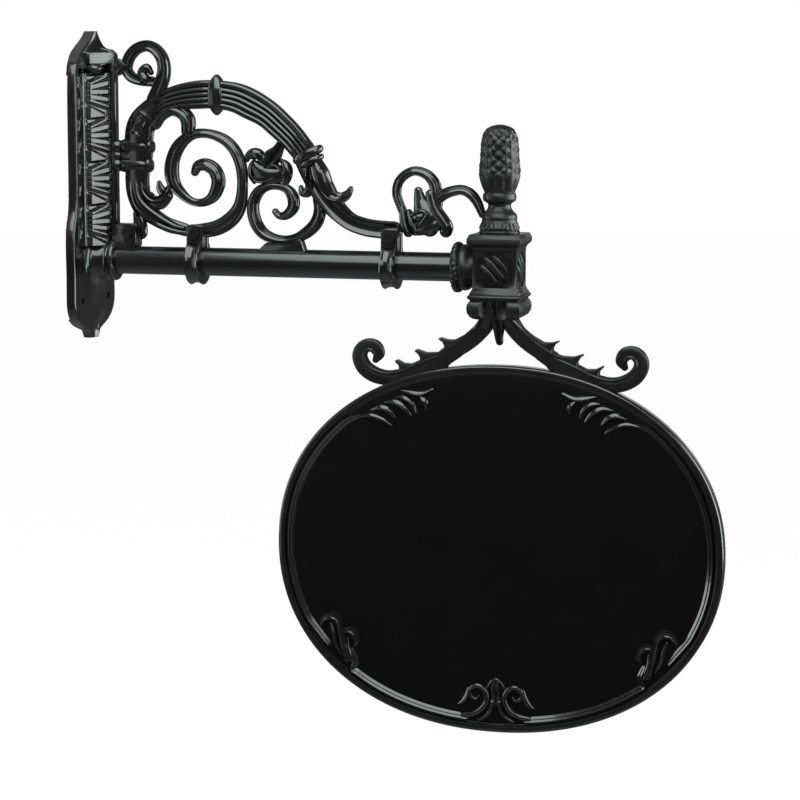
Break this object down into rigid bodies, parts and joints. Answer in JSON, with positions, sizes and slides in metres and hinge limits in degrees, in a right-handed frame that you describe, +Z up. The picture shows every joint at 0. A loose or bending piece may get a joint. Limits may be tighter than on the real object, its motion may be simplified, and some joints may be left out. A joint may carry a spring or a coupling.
{
  "type": "oval facade sign",
  "caption": "Ornate cast wall bracket with a scrollwork arm and a pine-cone finial, carrying an oval double-sided sign board under a leafy crown.",
  "frame": {"origin": "on the wall face, at the centre of the four screw holes of the wall plate", "axes": "+X straight out from the wall along the arm, +Y sideways along the wall, +Z up"},
  "size_m": [0.882, 0.152, 0.929],
  "materials": {
    "gloss_black_casting": "gloss black paint over cast iron",
    "satin_black_casting": "satin black paint over cast iron",
    "satin_black_tube": "satin black paint over steel tube",
    "black_board": "gloss black paint over cast aluminium",
    "black_fixings": "black-painted steel",
    "zinc_steel": "zinc-plated steel"
  },
  "bodies": {
    "root": {"wall_plate": "gloss_black_casting", "bracket_screws": "zinc_steel", "arm_tube": "satin_black_tube", "scroll_bracket": "gloss_black_casting", "inner_clamp": "gloss_black_casting", "outer_clamp": "gloss_black_casting", "clamp_bolts": "black_fixings", "clamp_washers": "black_fixings", "clamp_nuts": "black_fixings", "grub_screws": "zinc_steel", "end_flange": "satin_black_casting", "head_box": "satin_black_casting", "box_cap": "satin_black_casting", "finial": "satin_black_casting", "tie_rod": "zinc_steel", "crown": "satin_black_casting", "hanger_studs": "zinc_steel", "hanger_nuts": "zinc_steel", "board_front": "black_board", "board_back": "black_board", "board_screws": "black_fixings"}
  },
  "joints": []
}
